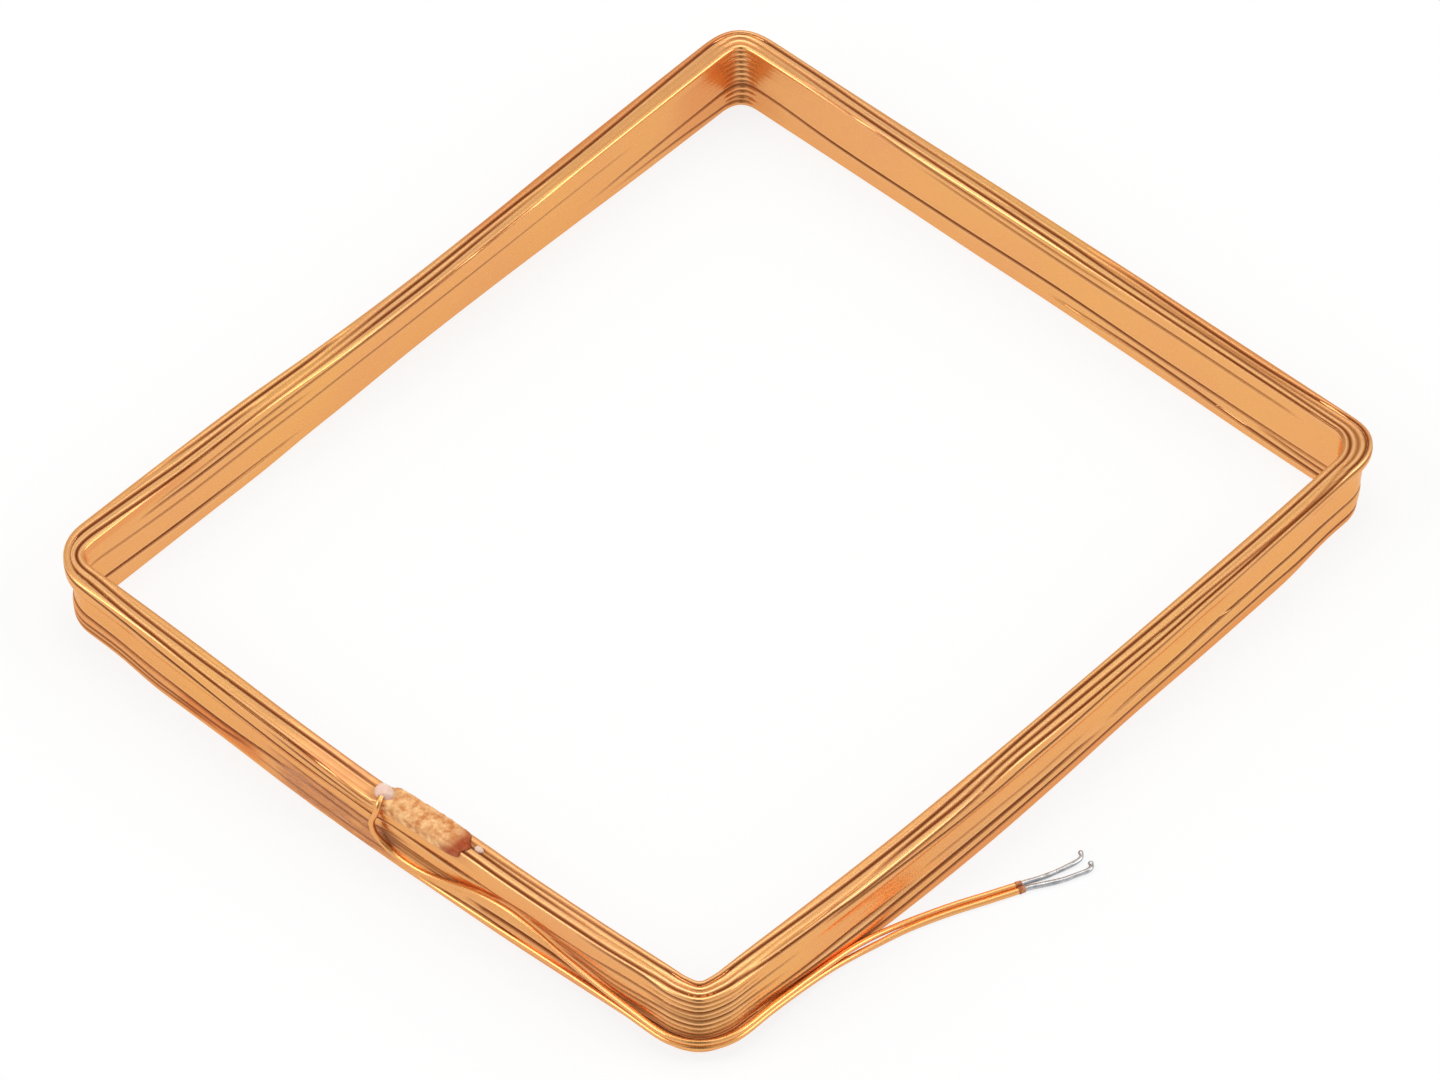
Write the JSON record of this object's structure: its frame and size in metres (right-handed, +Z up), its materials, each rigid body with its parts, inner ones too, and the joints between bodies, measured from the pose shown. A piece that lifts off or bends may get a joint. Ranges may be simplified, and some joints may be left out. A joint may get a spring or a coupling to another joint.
{
  "type": "loop antenna coil",
  "caption": "Flat rectangular air-core loop antenna of bonded enamelled copper wire, with two tinned leads that leave round one corner.",
  "frame": {"origin": "centre of the winding's footprint, on the surface that the coil lies on", "axes": "+X along the long sides, +Z up through the window; the leads leave round the corner at -X, -Y"},
  "size_m": [0.0711, 0.067, 0.0063],
  "materials": {
    "enamelled_wire": "glossy clear enamel and bonding coat over copper",
    "tinned_wire": "dipped tin, slightly uneven",
    "melted_enamel": "enamel melted back and browned where the wire was stripped",
    "clear_adhesive": "milky clear glue",
    "amber_varnish": "translucent amber varnish over the wires"
  },
  "bodies": {
    "root": {"winding_core": "enamelled_wire", "inner_layer": "enamelled_wire", "outer_layer": "enamelled_wire", "start_lead": "enamelled_wire", "finish_lead": "enamelled_wire", "start_tip": "tinned_wire", "finish_tip": "tinned_wire", "enamel_collars": "melted_enamel", "lead_bead": "clear_adhesive", "varnish_pad": "amber_varnish", "varnish_drop": "clear_adhesive", "varnish_smear": "amber_varnish"}
  },
  "joints": []
}
